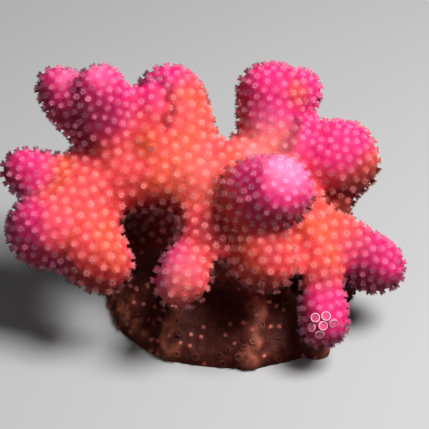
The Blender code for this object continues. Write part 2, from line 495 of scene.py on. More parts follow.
directions = ray_directions()
light = np.array([light_seen(vert.co, vert.normal, directions) for vert in skin.verts])
full_light = sum(direction.dot(LIGHT_FROM) for direction in directions)
light = spread(light / full_light, LIGHT_SOFTENING)
# shade later paints the tissue deeper and browner and the polyps' rings and mouths: painted shade
shade = soft_step((SHADE_LIGHT - light) / SHADE_FADE)
print("mean light:", round(float(light.mean()), 2))

# %% [markdown]
# A point is brown when it lies low on the foot or the trunk, on one of the knobs or under the
# ball, and a little brown is painted where the lamp's shade falls, which is painted shade.
# Noise makes the border on the foot wander.

# %% Measure how brown each point is
BROWN_HEIGHT = 11.5 * MM
BROWN_FADE = 8 * MM
BROWN_WANDER = 2 * MM
BROWN_WANDER_SIZE = 6 * MM
# brown painted into the tissue where the lamp's shade falls: painted shade
BROWN_IN_SHADE = 0.25
BROWN_SPOT = ((25, 1.5, 22.5), 11)  # its middle and reach
BROWN_SPOT_SHARE = 0.6
BROWN_KNOBS = {"right_under_knob": 0.8, "right_low_knob": 0.7, "left_low_knob": 0.35}


def claim_of(name):
    return claims[branch_names.index(name)]


border = BROWN_HEIGHT + BROWN_WANDER * noise_at(points, BROWN_WANDER_SIZE, 2)
on_tips = sum(claim_of(name) for name in nodes if slot_of[name] == "tip")
low_down = soft_step((border - points[:, 2]) / BROWN_FADE) * (1 - on_tips)
on_knobs = sum(share * claim_of(name) for name, share in BROWN_KNOBS.items())
under_ball = BROWN_SPOT_SHARE * spot(*BROWN_SPOT)
brown = np.maximum.reduce([low_down, BROWN_IN_SHADE * shade, on_knobs, under_ball])
print("brown share:", round(float(brown.mean()), 2))

# %% [markdown]
# Ribs run down the foot. Their backs are painted a lighter brown than the hollows between them,
# as if lit, which is painted light, and the hollows stay dark, which is painted shade. The
# relief tells them apart: it is how far a point stands out from the same skin after that has
# been softened many times, from 0 for more than half of the foot's points to 1. Three hollows
# in front stay dark all over, which is painted shade where the branches' shadow falls.

# %% Measure the relief
RELIEF_ROUNDS = 40
# hollows in front that are kept dark all over: painted shade under the branches
PAINTED_SHADE_HOLLOWS = [((-3.8, -21.6, 3.1), 9), ((-2.4, -13.7, 7.7), 8), ((12, -19, 3), 9)]
RELIEF_RANGE = (58, 98)  # the percentiles of the foot's points that get 0 and 1


def height_of_relief():
    softened = np.array([spread(column, RELIEF_ROUNDS) for column in points.T]).T
    return ((points - softened) * normals).sum(axis=1)


heights = height_of_relief()
bottom, top = np.percentile(heights[low_down > 0.5], RELIEF_RANGE)
relief = np.clip((heights - bottom) / (top - bottom), 0, 1)
for place, reach in PAINTED_SHADE_HOLLOWS:
    relief *= 1 - spot(place, reach)
print("ribs stand out by", round(float(top) / MM, 2), "mm")

# %% [markdown]
# The tissue isn't equally deep in colour everywhere. It is made deeper where the lamp's shade
# falls, in the folds between two branches and at listed spots that mostly lie in shadow, all of
# which is painted shade, and lighter at other spots, which is painted light. These are a table
# of places in millimetres, each with its reach and how much deeper it is.

# %% Set out where the colour is deep
# share of the shade value painted into the tissue as deeper colour: painted shade
SHADE_DEPTH = 0.3
# spots with a positive depth are painted shade, those with a negative one painted light
PAINTED_SHADE_AND_LIGHT_SPOTS = [
    ((-24, 0, 41), 9, 0.75), ((-27, 2, 38.5), 8, 0.5), ((-31, 3.5, 39), 6, 0.3),
    ((-4.3, -13.9, 24.9), 6.5, 0.8), ((-23.5, -21.5, 20), 8, 0.45), ((24.4, 1.9, 23.5), 9, 0.5),
    ((26.7, -13.9, 14), 8, 0.4), ((7, -20, 21), 6, 0.4), ((17.5, -18, 17), 5, 0.35),
    ((-10.6, -23.8, 21.2), 9, -0.6), ((2.2, -16.1, 30.2), 9, -0.3), ((7.1, 3.4, 33.9), 9, -0.5),
    ((-5.2, -5, 31.6), 9, -0.4), ((-14, 0.8, 17.2), 16, 1.2), ((6.7, -21.3, 25.6), 7, 0.4),
    ((25.7, -11.2, 20), 9, 0.25), ((13.3, 9.6, 40.7), 6, 0.3), ((-32.4, 5.3, 43.8), 6, 0.2),
]
# creases between two branches, painted deeper in colour: painted shade
FOLDS = [
    (-13.4, 10.3, 42.9), (-11.9, 8.3, 42.6), (-11.1, 6.3, 41.7), (-10.9, 4.8, 39.9),
    (-11.6, 2.3, 38.9), (13, 6.3, 35.6), (11.8, 4.8, 34.4), (10.9, 3.4, 32.8),
]
FOLD_REACH = 2.4
PAINTED_FOLD_SHADE = 1.0

deep_with_painted_shade = SHADE_DEPTH * shade
for place, reach, depth in PAINTED_SHADE_AND_LIGHT_SPOTS:
    deep_with_painted_shade = deep_with_painted_shade + depth * spot(place, reach)
painted_fold_shade = np.maximum.reduce([spot(place, FOLD_REACH) for place in FOLDS])
deep_with_painted_shade = np.maximum(deep_with_painted_shade, PAINTED_FOLD_SHADE * painted_fold_shade)
print("mean depth of colour:", round(float(deep_with_painted_shade.mean()), 2))

# %% [markdown]
# ## Where the polyps stand
# Polyps sit nearly evenly, but not in rows. So thousands of random places are tried on the
# skin first. A large face gets more of them than a small one.

# %% Try random places
TRIES = 60000
SEED = 4

random.seed(SEED)
chance = np.random.default_rng(SEED)


def random_places():
    """Random places on the skin."""
    areas = np.array([face.calc_area() for face in skin.faces])
    picks = chance.choice(len(areas), TRIES, p=areas / areas.sum())
    places = []
    for pick in picks:
        verts = skin.faces[pick].verts
        weights = chance.dirichlet([1.0] * len(verts))
        parts = (vert.co * float(weight) for vert, weight in zip(verts, weights))
        places.append(sum(parts, Vector()))
    return places


tried = random_places()
print(len(tried), "places tried")

# %% [markdown]
# Each place that is kept clears the places round it, which a k-d tree finds fast. The polyps
# are a little over two millimetres apart on the stems, and closer at the tips and on the foot.

# %% Keep the places that have room
SPACING_STEM = 2.3 * MM
SPACING_TIP = 1.68 * MM
SPACING_FOOT = 1.85 * MM
CLEARANCE = 0.84         # part of the spacing that a kept place clears
SIDE_SHARE = 0.2         # places whose normals agree less than this don't crowd each other
SOLE_MARGIN = 0.95 * MM  # no polyp stands lower than this

face_corners = [[vert.index for vert in face.verts] for face in skin.faces]


def value_at(values, face_number):
    """The mean of a value over a face's corners."""
    return float(np.mean(values[face_corners[face_number]]))


def wanted_spacing(face_number):
    low_share = value_at(low_down, face_number)
    pink_share = value_at(pink, face_number)
    upper = SPACING_STEM + (SPACING_TIP - SPACING_STEM) * pink_share
    return upper + (SPACING_FOOT - upper) * low_share


def tree_of(places):
    tree = KDTree(len(places))
    for number, place in enumerate(places):
        tree.insert(place, number)
    tree.balance()
    return tree


def thin_out(places):
    """The places that stay when each kept one clears its surroundings."""
    tree = tree_of(places)
    found = [skin_tree.find_nearest(place) for place in places]
    free = [place.z > SOLE_MARGIN for place in places]
    kept = []
    for number, place in enumerate(places):
        if not free[number]:
            continue
        _, normal, face_number, _ = found[number]
        kept.append(place)
        for _, other, _ in tree.find_range(place, CLEARANCE * wanted_spacing(face_number)):
            if found[other][1].dot(normal) > SIDE_SHARE:
                free[other] = False
    return kept


sites = thin_out(tried)
print(len(sites), "places kept")

# %% [markdown]
# The kept places are still uneven, because chance leaves gaps between them. For a few rounds
# each is pushed away from those that are too near and slides on the skin, until they are as
# regular as in life.

# %% Push them apart
PUSH_ROUNDS = 10
PUSH_RANGE = 1.15  # places nearer than this share of the spacing push each other
PUSH = 0.35        # how much of the push is taken in each round


def push_apart(places):
    tree = tree_of(places)
    found = [skin_tree.find_nearest(place) for place in places]
    moved = []
    for number, place in enumerate(places):
        normal, face_number = found[number][1:3]
        spacing = wanted_spacing(face_number) * PUSH_RANGE
        push = Vector()
        for other_place, other, distance in tree.find_range(place, spacing):
            if other != number and found[other][1].dot(normal) > SIDE_SHARE:
                push += (place - other_place).normalized() * (spacing - distance)
        step = skin_tree.find_nearest(place + push * PUSH)[0]
        moved.append(step if step.z > SOLE_MARGIN else place)
    return moved


for _ in range(PUSH_ROUNDS):
    sites = push_apart(sites)
site_tree = tree_of(sites)
gaps = [site_tree.find_n(site, 2)[1][2] for site in sites]
print("nearest neighbour on average", round(sum(gaps) / len(gaps) / MM, 2), "mm away")

# %% [markdown]
# ## A mound under each polyp
# Each polyp grows out of a low mound of the skeleton, with the tissue pulled up over it. The
# skin is raised there, and the same measure is kept as a value of its own, because the
# tissue is paler on the mounds and deeper in colour between them.

# %% Raise the mounds
MOUND = 0.17 * MM
MOUND_REACH = 0.75 * MM

site_gap = np.array([site_tree.find(vert.co)[2] for vert in skin.verts])
mound = np.exp(-((site_gap / MOUND_REACH) ** 2))
raised = MOUND * mound * np.clip(points[:, 2] / CALM_HEIGHT, 0, 1)
points += normals * raised[:, None]
for vert, place in zip(skin.verts, points):
    vert.co = place
skin.normal_update()
normals = np.array([vert.normal for vert in skin.verts])
skin_tree = BVHTree.FromBMesh(skin)
print("mounds raised by", MOUND / MM, "mm")

# %% [markdown]
# ## One piece for each branch
# The skin is now cut into the same branches as the frame. Each face goes to the branch with
# the strongest claim on its corners. A patch that got cut off from the rest of its branch
# goes to whichever branch surrounds it, so that each branch is one patch.

# %% Give each face its branch
def islands(labels, pairs):
    """For each face, a number that it shares with all the faces of its patch."""
    patch = np.arange(len(labels))
    same = pairs[labels[pairs[:, 0]] == labels[pairs[:, 1]]]
    while True:
        least = patch.copy()
        np.minimum.at(least, same[:, 0], patch[same[:, 1]])
        np.minimum.at(least, same[:, 1], patch[same[:, 0]])
        least = least[least]
        if (least == patch).all():
            return patch
        patch = least


def give_away_crumbs(labels, pairs):
    """Every patch but the largest of each branch joins a neighbour."""
    patches = islands(labels, pairs)
    sizes = np.bincount(patches, minlength=len(labels))
    for number in range(len(nodes)):
        mine = np.flatnonzero(labels == number)
        largest = patches[mine][sizes[patches[mine]].argmax()]
        labels[mine[patches[mine] != largest]] = -1
    while (labels < 0).any():
        for here, there in (pairs.T, pairs.T[::-1]):
            grow = (labels[here] < 0) & (labels[there] >= 0)
            labels[here[grow]] = labels[there[grow]]


shared = [edge for edge in skin.edges if len(edge.link_faces) == 2]
pairs = np.array([[face.index for face in edge.link_faces] for edge in shared])
labels = np.array([claims[:, corners].mean(axis=1).argmax() for corners in face_corners])
give_away_crumbs(labels, pairs)
print("faces of the smallest branch:", np.bincount(labels).min())

# %% [markdown]
# The skin takes the values along as layers of its own, so that each copy of it has them. The
# normals go with them, because the pieces need those later.

# %% Hand the values to the skin
VALUES = {
    "pink": pink, "brown": brown, "pale_with_painted_light": pale_with_painted_light, "deep_with_painted_shade": deep_with_painted_shade, "relief": relief, "mound": mound,
}
for name, values in VALUES.items():
    layer = skin.verts.layers.float.new(name)
    for vert, value in zip(skin.verts, values):
        vert[layer] = value
normal_layer = skin.verts.layers.float_vector.new("whole_normal")
for vert, normal in zip(skin.verts, normals):
    vert[normal_layer] = normal
print("each point carries", ", ".join(VALUES))

# %% [markdown]
# Each piece is a copy of the skin without the faces of the others. It is open where it was
# cut, so each open edge is closed by a hidden cone. The edge is first extruded straight in by
# a millimetre or two, because in a crotch a straight line from the edge to the cone's point
# would come out through the skin, and then it is extruded again and merged into one point.

# %% Cut out the branches and close them
LIP = 1.5 * MM


def edge_loops(open_edges):
    """The open edges, sorted into the loops that they form."""
    left = set(open_edges)
    loops = []
    while left:
        loop = []
        front = [left.pop()]
        while front:
            edge = front.pop()
            loop.append(edge)
            touching = {other for vert in edge.verts for other in vert.link_edges} & left
            left -= touching
            front += touching
        loops.append(loop)
    return loops


def extruded(bm, loop):
    """The points and the edges of a copy of the loop that is joined to it by faces."""
    made = bmesh.ops.extrude_edge_only(bm, edges=loop)["geom"]
    new_points = [item for item in made if isinstance(item, bmesh.types.BMVert)]
    new_edges = [item for item in made if isinstance(item, bmesh.types.BMEdge)]
    return new_points, new_edges


def close_with_cone(bm, loop):
    """Closes an open loop with a lip that goes straight in and a cone behind it."""
    inward = bm.verts.layers.float_vector["whole_normal"]
    lip, lip_edges = extruded(bm, loop)
    for vert in lip:
        vert.co -= vert[inward] * LIP
    middle = sum((vert.co for vert in lip), Vector()) / len(lip)
    inner, _ = extruded(bm, lip_edges)
    bmesh.ops.pointmerge(bm, verts=inner, merge_co=middle)


def branch_skin(number):
    """A closed bmesh of one branch's skin. The sole under the foot has material 1."""
    bm = skin.copy()
    bm.faces.ensure_lookup_table()
    others = [face for face, label in zip(bm.faces, labels) if label != number]
    bmesh.ops.delete(bm, geom=others, context="FACES")
    loops = edge_loops([edge for edge in bm.edges if len(edge.link_faces) == 1])
    for loop in loops:
        if all(vert.co.z < MERGE for edge in loop for vert in edge.verts):
            for face in bmesh.ops.edgeloop_fill(bm, edges=loop)["faces"]:
                face.material_index = 1
        else:
            close_with_cone(bm, loop)
    bmesh.ops.recalc_face_normals(bm, faces=bm.faces)
    return bm


branch_meshes = {
    name: mesh_from(branch_skin(number), name + "_skin") for number, name in enumerate(branch_names)
}
face_counts = [len(mesh.polygons) for mesh in branch_meshes.values()]
print(sum(face_counts), "faces in", len(face_counts), "closed branches")

# %% [markdown]
# The shading still comes from the whole skin: each corner takes the normal that it had there,
# so that no line shows where two pieces meet. Only the cut under the foot is shaded flat. Each
# mesh then becomes a piece, which rides with the colony and stands in for the frame's branch.

# %% Shade the branches and make them pieces
def keep_whole_shading(mesh):
    """Smooth shading with the normals that the whole skin had."""
    whole = np.zeros(len(mesh.vertices) * 3)
    mesh.attributes["whole_normal"].data.foreach_get("vector", whole)
    whole = whole.reshape(-1, 3)
    corner_normals = []
    for face in mesh.polygons:
        if face.material_index:
            corner_normals += [face.normal] * len(face.vertices)
        else:
            corner_normals += [whole[vertex] for vertex in face.vertices]
    mesh.shade_smooth()
    mesh.normals_split_custom_set(corner_normals)
    mesh.attributes.remove(mesh.attributes["whole_normal"])


def add_piece(mesh, replaces=None):
    """An object for the mesh, which rides with the colony."""
    piece = bpy.data.objects.new(mesh.name, mesh)
    bpy.context.scene.collection.objects.link(piece)
    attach(piece, "root")
    if replaces:
        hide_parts(replaces)
    return piece


skins = []
for branch, mesh in branch_meshes.items():
    keep_whole_shading(mesh)
    skins.append(add_piece(mesh, branch))
print(len(skins), "pieces of skin")

# %% [markdown]
# ## The shape of a polyp
# A polyp is a short column with a flat disc on top, a mouth in its middle, and twelve
# tentacles round its rim, six long and six short. A cone with twelve sides makes the column.
# Each side is extruded on its own and its end made small, which gives a blunt tentacle.
# Poking the top gives the mouth, which is sunk a little. There are thousands of them, so one
# polyp may only have a few dozen faces.

# %% Model one polyp
TENTACLES = 12
COLUMN_RADIUS = 0.34 * MM
DISC_RADIUS = 0.33 * MM
COLUMN_HEIGHT = 0.32 * MM
SUNK = 0.16 * MM          # how much of the column is hidden in the mound
LONG_REACH = 0.72 * MM
SHORT_REACH = 0.54 * MM
LONG_LIFT = 0.60 * MM
SHORT_LIFT = 0.54 * MM
END_SHARE = (0.6, 0.6, 0.3)   # the size of a tentacle's end, as a share of its root
MOUTH_DEPTH = 0.14 * MM
CROWN_AT_FOOT = 0.0
CROWN_AT_DISC = 0.25
CROWN_AT_MOUTH = 0.0
CROWN_AT_END = 1.0


def pull_out_tentacle(end, crown, long):
    """Moves the end face of a tentacle to its place and makes it small."""
    middle = end.calc_center_median()
    place = Vector((middle.x, middle.y, 0)).normalized() * (LONG_REACH if long else SHORT_REACH)
    place.z = LONG_LIFT if long else SHORT_LIFT
    for vert in end.verts:
        offset = vert.co - middle
        vert.co = place + Vector(share * part for share, part in zip(END_SHARE, offset))
        vert[crown] = CROWN_AT_END


def polyp_shape():
    bm = bmesh.new()
    bmesh.ops.create_cone(
        bm, cap_ends=True, segments=TENTACLES,
        radius1=COLUMN_RADIUS, radius2=DISC_RADIUS, depth=COLUMN_HEIGHT + SUNK,
    )
    bmesh.ops.translate(bm, verts=bm.verts, vec=(0, 0, (COLUMN_HEIGHT - SUNK) / 2))
    crown = bm.verts.layers.float.new("crown")
    for vert in bm.verts:
        vert[crown] = CROWN_AT_DISC if vert.co.z > 0 else CROWN_AT_FOOT
    disc = max(bm.faces, key=lambda face: face.calc_center_median().z)
    sides = [face for face in bm.faces if len(face.verts) == 4]
    for mouth in bmesh.ops.poke(bm, faces=[disc])["verts"]:
        mouth.co.z -= MOUTH_DEPTH
        mouth[crown] = CROWN_AT_MOUTH
    ends = bmesh.ops.extrude_discrete_faces(bm, faces=sides)["faces"]
    ends.sort(key=lambda face: math.atan2(*face.calc_center_median().xy))
    for place, end in enumerate(ends):
        pull_out_tentacle(end, crown, place % 2 == 0)
    return bm


one_polyp = polyp_shape()
print("a polyp has", len(one_polyp.faces), "faces")

# %% [markdown]
# Thousands of copies are quickest to place with arrays, so the shape is cut into triangles
# and read into arrays once.

# %% Read the polyp into arrays
def template(bm):
    """The points, normals, triangles and crown values of a small shape. The bmesh is freed."""
    bmesh.ops.triangulate(bm, faces=bm.faces)
    bmesh.ops.recalc_face_normals(bm, faces=bm.faces)
    bm.normal_update()
    bm.verts.index_update()
    crown = bm.verts.layers.float["crown"]
    shape = (
        np.array([vert.co for vert in bm.verts]),
        np.array([vert.normal for vert in bm.verts]),
        np.array([[vert.index for vert in face.verts] for face in bm.faces]),
        np.array([vert[crown] for vert in bm.verts]),
    )
    bm.free()
    return shape


polyp = template(one_polyp)
print("a polyp has", len(polyp[2]), "triangles")

# %% [markdown]
# Low on the foot the polyps are drawn in, and only their cups show: a round wall with a dark
# pit in its middle. A low cone makes the wall, an inset its rim, and an extrusion the pit.
# At the tip of one finger the tissue has shrunk from the walls round the open polyps, so that
# the white skeleton shows. Those walls are the same shape with other sizes.

# %% Model the cups
CUP_SIDES = 10
CUP_SUNK = 0.12 * MM
CROWN_AT_RIM = 1.0
CROWN_IN_PIT = -1.0
CUP = {
    "foot": 0.80 * MM, "rim": 0.60 * MM, "height": 0.16 * MM, "wall": 0.12 * MM, "pit": 0.2 * MM,
}
BARE_CUP = {
    "foot": 1.0 * MM, "rim": 0.85 * MM, "height": 0.25 * MM, "wall": 0.12 * MM, "pit": 0.15 * MM,
}


def cup_shape(sizes):
    bm = bmesh.new()
    bmesh.ops.create_cone(
        bm, cap_ends=True, segments=CUP_SIDES,
        radius1=sizes["foot"], radius2=sizes["rim"], depth=sizes["height"] + CUP_SUNK,
    )
    bmesh.ops.translate(bm, verts=bm.verts, vec=(0, 0, (sizes["height"] - CUP_SUNK) / 2))
    crown = bm.verts.layers.float.new("crown")
    for vert in bm.verts:
        vert[crown] = CROWN_AT_RIM if vert.co.z > 0 else CROWN_AT_FOOT
    top = max(bm.faces, key=lambda face: face.calc_center_median().z)
    bmesh.ops.inset_region(bm, faces=[top], thickness=sizes["wall"], use_even_offset=True)
    floor = bmesh.ops.extrude_discrete_faces(bm, faces=[top])["faces"][0]
    bmesh.ops.translate(bm, verts=floor.verts, vec=(0, 0, -sizes["pit"]))
    for vert in floor.verts:
        vert[crown] = CROWN_IN_PIT
    return bm


cup = template(cup_shape(CUP))
bare_cup = template(cup_shape(BARE_CUP))
print("a cup has", len(cup[2]), "triangles")

# %% [markdown]
# ## Stand the polyps on the skin
# Each place gets a matrix that turns the shape's up to the skin's normal, gives it a random
# turn and a slight lean, and sets its size. Polyps in the shade stretch up further. Low on
# the foot most places get a cup, and the cups are of very unequal size. The rest of the
# polyps there are half open.

# %% Choose how each polyp stands
LEAN = 0.16
OPEN_WIDTH = (0.88, 1.14)   # times the width that was modelled
OPEN_HEIGHT = (0.75, 1.15)
SHADE_STRETCH = 0.5
TIP_SMALLER = 0.12          # young polyps at the tips are narrower by this share
CUP_SIZE = (0.6, 1.15)
CUP_FROM = 0.5              # how low on the foot, from 0 to 1, the polyps are drawn in
CUP_SHARE = 0.7             # the rest of them are half open even there
HALF_OPEN = 0.62            # their width, as a share of an open one's
BARE_PATCH = ((17.2, -25.5, 12.4), 6)  # its place in mm and its number of cups
SMALL_VALUES = {
    "pink": pink, "brown": brown, "pale_with_painted_light": pale_with_painted_light, "deep_with_painted_shade": deep_with_painted_shade, "shade": shade, "relief": relief,
}


def stance(place, normal, width, height):
    """A matrix that stands a shape on the skin, turned and leaning at random."""
    lean = Vector((random.gauss(0, LEAN), random.gauss(0, LEAN), random.gauss(0, LEAN)))
    upright = (normal + lean).normalized().to_track_quat("Z", "Y").to_matrix().to_4x4()
    turn = Matrix.Rotation(random.uniform(0, 2 * math.pi), 4, "Z")
    size = Matrix.Diagonal((width, width, height, 1))
    return Matrix.Translation(place) @ upright @ turn @ size


def skin_normal(face_number):
    normal = normals[face_corners[face_number]].mean(axis=0)
    return Vector(normal).normalized()


def bare_sites():
    """The numbers of the places whose cup walls are bare."""
    place, count = BARE_PATCH
    return {number for _, number, _ in site_tree.find_n(Vector(place) * MM, count)}


def sow():
    """For each branch, the stances and values of its polyps and of its cups."""
    sown = {name: {"polyps": [], "cups": [], "bare_cups": []} for name in nodes}
    bare = bare_sites()
    for number, site in enumerate(sites):
        place, _, face_number, _ = skin_tree.find_nearest(site)
        normal = skin_normal(face_number)
        on_branch = sown[branch_names[labels[face_number]]]
        values = [value_at(values, face_number) for values in SMALL_VALUES.values()]
        low_on_foot = value_at(low_down, face_number) > CUP_FROM
        if low_on_foot and random.random() < CUP_SHARE:
            kind = "cups"
            width = random.uniform(*CUP_SIZE)
            height = random.uniform(*CUP_SIZE)
        else:
            kind = "polyps"
            width = random.uniform(*OPEN_WIDTH) * (HALF_OPEN if low_on_foot else 1)
            width *= 1 - TIP_SMALLER * value_at(pink, face_number)
            height = random.uniform(*OPEN_HEIGHT) + SHADE_STRETCH * value_at(shade, face_number)
        on_branch[kind].append((stance(place, normal, width, height), values))
        if number in bare:
            on_branch["bare_cups"].append((stance(place, normal, 1, 1), values))
    return sown


sown = sow()
for kind in ("polyps", "cups", "bare_cups"):
    print(sum(len(kinds[kind]) for kinds in sown.values()), kind)

# %% [markdown]
# The copies of one branch become one mesh, made with arrays, and each copy keeps the colour
# values of the skin that it stands on. A polyp is soft, so its normals lean to the skin's,
# which leaves its facets hardly visible.

# %% Join the copies on each branch
POLYP_SOFTNESS = 0.85  # how far its normals lean to the skin's, from 0 to 1
CUP_SOFTNESS = 0.65
BARE_SOFTNESS = 0.5
SHAPES = {
    "polyps": (polyp, POLYP_SOFTNESS),
    "cups": (cup, CUP_SOFTNESS),
    "bare_cups": (bare_cup, BARE_SOFTNESS),
}


def add_values(mesh, title, numbers):
    """Gives the mesh an attribute with one number for each point."""
    mesh.attributes.new(title, "FLOAT", "POINT").data.foreach_set("value", numbers)


def joined_mesh(name, shape, stood, softness):
    """One mesh of many copies of a shape, with their values as attributes."""
    shape_points, shape_normals, shape_faces, crown = shape
    matrices = np.array([matrix for matrix, _ in stood])
    turns = matrices[:, :3, :3]
    places = np.einsum("nij,vj->nvi", turns, shape_points) + matrices[:, None, :3, 3]
    starts = np.arange(len(stood)) * len(shape_points)
    faces = (shape_faces[None] + starts[:, None, None]).reshape(-1, 3)
    mesh = bpy.data.meshes.new(name)
    mesh.from_pydata(places.reshape(-1, 3).tolist(), [], faces.tolist())
    mesh.shade_smooth()
    own = np.einsum("nij,vj->nvi", turns, shape_normals)
    soft = own * (1 - softness) + turns[:, None, :, 2] * softness
    soft /= np.linalg.norm(soft, axis=2, keepdims=True)
    mesh.normals_split_custom_set_from_vertices(soft.reshape(-1, 3).tolist())
    columns = np.array([values for _, values in stood])
    for title, column in zip(SMALL_VALUES, columns.T):
        add_values(mesh, title, np.repeat(column, len(shape_points)))
    add_values(mesh, "crown", np.tile(crown, len(stood)))
    return mesh


small_pieces = {kind: [] for kind in SHAPES}
for branch, kinds in sown.items():
    for kind, (shape, softness) in SHAPES.items():
        if kinds[kind]:
            mesh = joined_mesh(branch + "_" + kind, shape, kinds[kind], softness)
            small_pieces[kind].append(add_piece(mesh))
for kind, pieces in small_pieces.items():
    triangles = sum(len(piece.data.polygons) for piece in pieces)
    print(len(pieces), "pieces with", kind, "of", triangles, "triangles")

# %% [markdown]
# ## The colour of the tissue
# Skin and polyps share one recipe, so it is a node group. Its inputs say how pink, brown,
# pale, deep in colour and raised a point is, and its only output is a colour. It starts empty.

# %% Make the empty group
TISSUE_INPUTS = ("Pink", "Brown", "Pale", "Deep", "Relief")


def new_group(name, inputs):
    """An empty shader node group that takes numbers and puts out one colour."""
    group = bpy.data.node_groups.new(name, "ShaderNodeTree")
    for title in inputs:
        group.interface.new_socket(title, in_out="INPUT", socket_type="NodeSocketFloat")
    group.interface.new_socket("Color", in_out="OUTPUT", socket_type="NodeSocketColor")
    source = group.nodes.new("NodeGroupInput")
    sink = group.nodes.new("NodeGroupOutput")
    return group, source.outputs, sink.inputs


tissue_group, given, result = new_group("tissue_colour", TISSUE_INPUTS)
print("sockets of the tissue group:", [item.name for item in tissue_group.interface.items_tree])

# %% [markdown]
# Living tissue is never quite even. Two noises, a drift and fine speckles, are added to the
# depth of colour that each point has already.

# %% Vary the depth of the colour
DRIFT_SCALE = 260            # one wave of the drift is about 4 mm
DRIFT_RANGE = (0.3, 0.7)     # the part of the noise that the ramp spreads out
DRIFT_DEPTH = 0.25
SPECKLE_SCALE = 1400         # one wave of the speckles is about 0.7 mm
SPECKLE_RANGE = (0.45, 0.75)
SPECKLE_DEPTH = 0.3


def feed(tree, socket, value):
    """Links a socket to the value if that is a socket, or sets it."""
    if isinstance(value, bpy.types.NodeSocket):
        tree.links.new(value, socket)
    else:
        socket.default_value = value


def math_node(tree, operation, *values, clamp=False):
    node = tree.nodes.new("ShaderNodeMath")
    node.operation = operation
    node.use_clamp = clamp
    for socket, value in zip(node.inputs, values):
        feed(tree, socket, value)
    return node.outputs[0]


def ramp(tree, value, low, high, start=0.0, end=1.0):
    """A straight ramp from start at low to end at high, level beyond them."""
    node = tree.nodes.new("ShaderNodeMapRange")
    for socket, number in zip(node.inputs, (value, low, high, start, end)):
        feed(tree, socket, number)
    return node.outputs[0]


def noise_node(tree, scale, detail=2.0):
    """Noise on the object's own coordinates, which are metres here."""
    place = tree.nodes.new("ShaderNodeTexCoord")
    node = tree.nodes.new("ShaderNodeTexNoise")
    tree.links.new(place.outputs["Object"], node.inputs["Vector"])
    node.inputs["Scale"].default_value = scale
    node.inputs["Detail"].default_value = detail
    return node.outputs[0]


def varied_depth(group, given):
    """The depth that is given, plus the two noises."""
    drift = ramp(group, noise_node(group, DRIFT_SCALE), *DRIFT_RANGE, 0.0, DRIFT_DEPTH)
    speckle = ramp(group, noise_node(group, SPECKLE_SCALE), *SPECKLE_RANGE, 0.0, SPECKLE_DEPTH)
    unevenness = math_node(group, "ADD", drift, speckle)
    return math_node(group, "ADD", given["Deep"], unevenness, clamp=True)


depth = varied_depth(tissue_group, given)
print(len(tissue_group.nodes), "nodes in the group so far")

# %% [markdown]
# The stems are coral pink with patches of orange, which slower noise sets out. They are mixed
# with magenta by how pink a point is. The colour turns deep where it is asked to, which carries
# the painted shade, and pale where it is asked to, which carries the painted highlight and the
# painted light.

# %% Mix the coral, the orange and the magenta
CORAL = (0.92, 0.084, 0.088, 1)
ORANGE = (0.92, 0.125, 0.055, 1)
# the deep colours serve the painted shade as well as the uneven tone
DEEP_CORAL = (0.32, 0.012, 0.020, 1)
MAGENTA = (0.84, 0.016, 0.180, 1)
DEEP_MAGENTA = (0.30, 0.006, 0.055, 1)
# the pale colours serve the painted highlight and painted light as well as the mounds and polyps
PALE_CORAL = (0.96, 0.34, 0.33, 1)
PALE_MAGENTA = (0.93, 0.30, 0.53, 1)
PATCH_SCALE = 130            # one wave of the orange patches is about 8 mm
PATCH_RANGE = (0.42, 0.6)
PATCH_DETAIL = 1.0
MIX_SOCKETS = (0, 6, 7)      # a Mix node's factor and its two colours
MIX_RESULT = 2


def mix_colour(tree, factor, first, second):
    """The first colour where the factor is 0, and the second where it is 1."""
    node = tree.nodes.new("ShaderNodeMix")
    node.data_type = "RGBA"
    node.clamp_factor = True
    for number, value in zip(MIX_SOCKETS, (factor, first, second)):
        feed(tree, node.inputs[number], value)
    return node.outputs[MIX_RESULT]


def living_colour(group, given, deep_with_painted_shade):
    patches = ramp(group, noise_node(group, PATCH_SCALE, PATCH_DETAIL), *PATCH_RANGE)
    stem = mix_colour(group, deep_with_painted_shade, mix_colour(group, patches, CORAL, ORANGE), DEEP_CORAL)
    magenta = mix_colour(group, deep_with_painted_shade, MAGENTA, DEEP_MAGENTA)
    full = mix_colour(group, given["Pink"], stem, magenta)
    pale_with_painted_light = mix_colour(group, given["Pink"], PALE_CORAL, PALE_MAGENTA)
    return mix_colour(group, given["Pale"], full, pale_with_painted_light)


living = living_colour(tissue_group, given, depth)
print(len(tissue_group.nodes), "nodes in the group so far")

# %% [markdown]
# Brown comes last and covers the rest. It is dark in the hollows, which is painted shade, and
# on the ribs a lighter brown mottles it, which is partly painted light.

# %% Add the brown
# the foot's brown, made darker than the tissue to stand for the shade under the branches: partly
# painted shade
BROWN = (0.070, 0.011, 0.008, 1)
LIGHT_BROWN = (0.46, 0.13, 0.075, 1)
MOTTLE_SCALE = 420           # one wave of the mottling is about 2.5 mm
MOTTLE_RANGE = (0.3, 0.65)
MOTTLE_DETAIL = 3.0
MOTTLE_LEAST = 0.25          # the light brown's share on a rib where the noise is lowest


def brown_colour(group, given):
    noise_value = noise_node(group, MOTTLE_SCALE, MOTTLE_DETAIL)
    mottle = ramp(group, noise_value, *MOTTLE_RANGE, MOTTLE_LEAST, 1.0)
    light_share = math_node(group, "MULTIPLY", mottle, given["Relief"])
    return mix_colour(group, light_share, BROWN, LIGHT_BROWN)


browned = brown_colour(tissue_group, given)
tissue_colour = mix_colour(tissue_group, given["Brown"], living, browned)
tissue_group.links.new(tissue_colour, result["Color"])
print(len(tissue_group.nodes), "nodes in the group")

